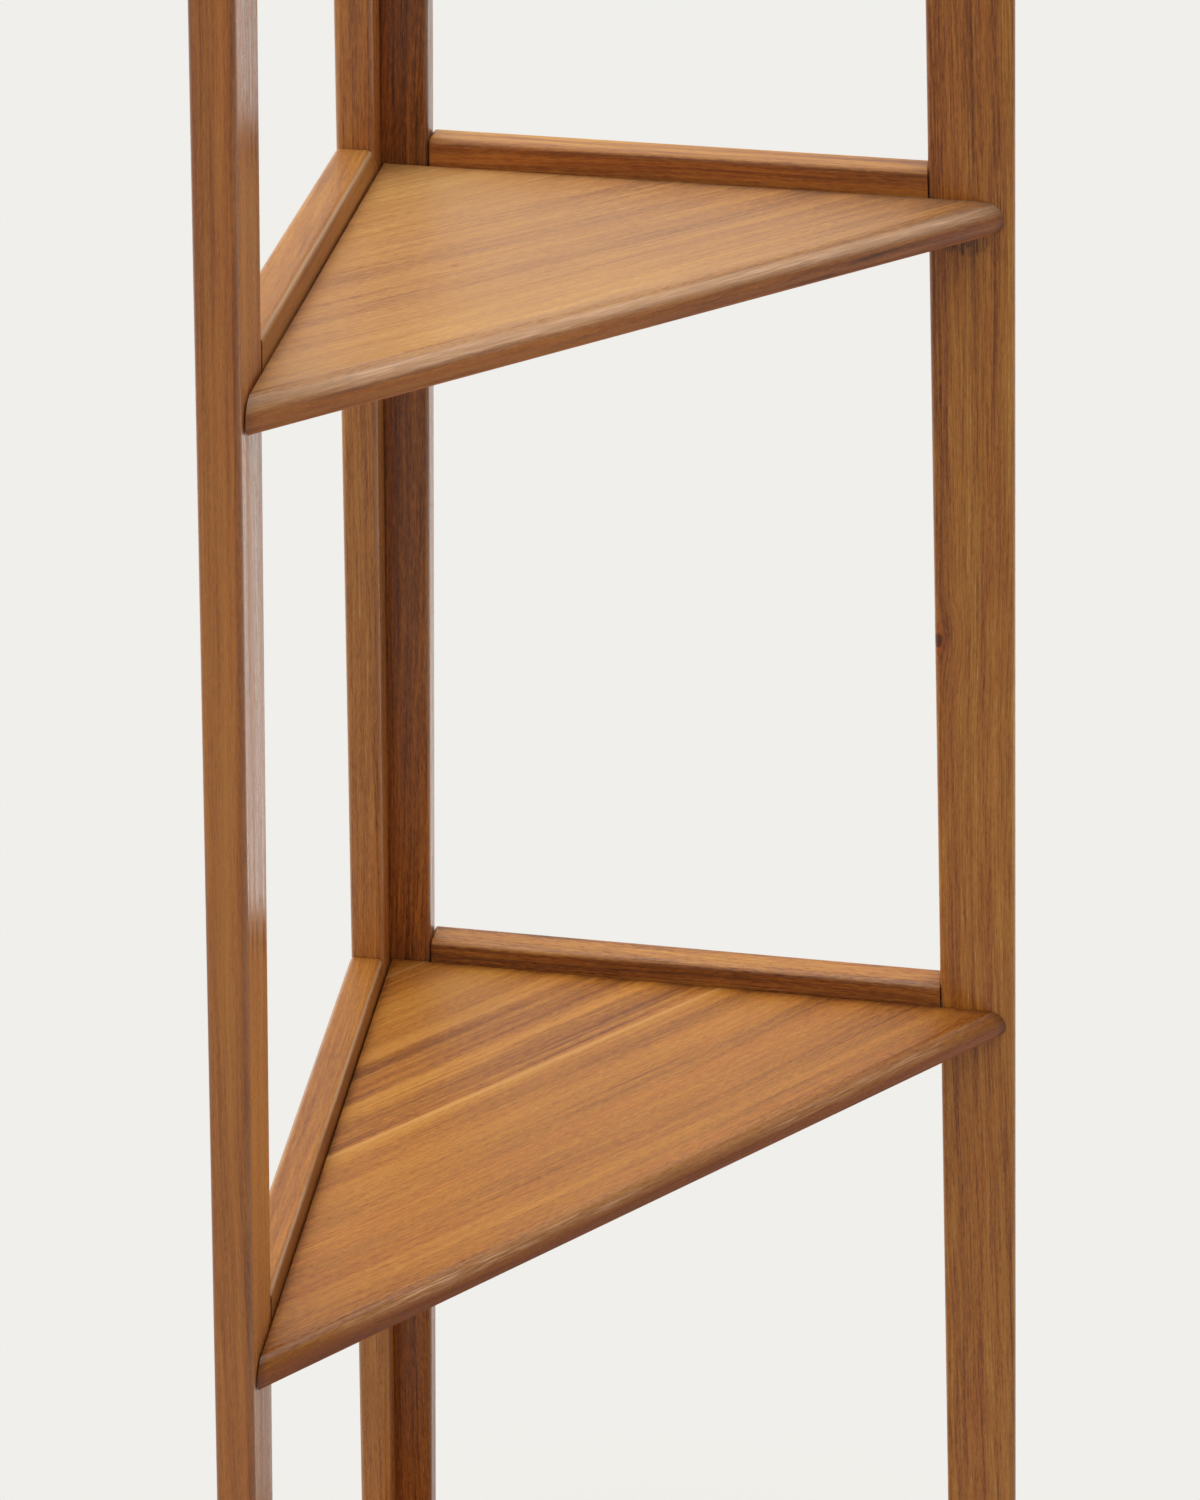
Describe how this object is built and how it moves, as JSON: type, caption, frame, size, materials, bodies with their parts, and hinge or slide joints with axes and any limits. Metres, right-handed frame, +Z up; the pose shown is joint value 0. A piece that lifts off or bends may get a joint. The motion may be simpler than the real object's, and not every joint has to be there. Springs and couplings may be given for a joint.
{
  "type": "corner shelving unit",
  "caption": "Free-standing corner shelving unit of oiled hardwood: ladder frames at a right angle, splayed front posts and triangular bull-nosed shelves behind low rails.",
  "frame": {"origin": "middle of the overall box, at the floor", "axes": "+Z up; +Y out of the back of the right frame, towards its wall; -X out of the outer side of the left frame, towards the other wall; the open front faces +X and -Y"},
  "size_m": [0.4135, 0.4135, 1.6],
  "materials": {
    "left_front_post": "satin oiled hardwood",
    "left_back_post": "satin oiled hardwood",
    "right_back_post": "satin oiled hardwood",
    "right_front_post": "satin oiled hardwood",
    "left_rails": "satin oiled hardwood",
    "right_rails": "satin oiled hardwood",
    "shelves": "satin oiled hardwood",
    "screws": "bright",
    "bolts": "bright",
    "inserts": "zinc plated",
    "glides": "moulded"
  },
  "bodies": {
    "root": {"left_front_post": "left_front_post", "left_back_post": "left_back_post", "right_back_post": "right_back_post", "right_front_post": "right_front_post", "left_rail_1": "left_rails", "left_rail_2": "left_rails", "left_rail_3": "left_rails", "left_rail_4": "left_rails", "right_rail_1": "right_rails", "right_rail_2": "right_rails", "right_rail_3": "right_rails", "right_rail_4": "right_rails", "shelf_1": "shelves", "shelf_2": "shelves", "shelf_3": "shelves", "shelf_4": "shelves", "left_screw_1_back": "screws", "left_screw_1_front": "screws", "left_screw_2_back": "screws", "left_screw_2_front": "screws", "left_screw_3_back": "screws", "left_screw_3_front": "screws", "left_screw_4_back": "screws", "left_screw_4_front": "screws", "right_screw_1_back": "screws", "right_screw_1_front": "screws", "right_screw_2_back": "screws", "right_screw_2_front": "screws", "right_screw_3_back": "screws", "right_screw_3_front": "screws", "right_screw_4_back": "screws", "right_screw_4_front": "screws", "corner_bolt_1": "bolts", "corner_bolt_2": "bolts", "corner_bolt_3": "bolts", "corner_bolt_4": "bolts", "corner_insert_1": "inserts", "corner_insert_2": "inserts", "corner_insert_3": "inserts", "corner_insert_4": "inserts", "left_back_glide": "glides", "left_front_glide": "glides", "right_back_glide": "glides", "right_front_glide": "glides"}
  },
  "joints": []
}
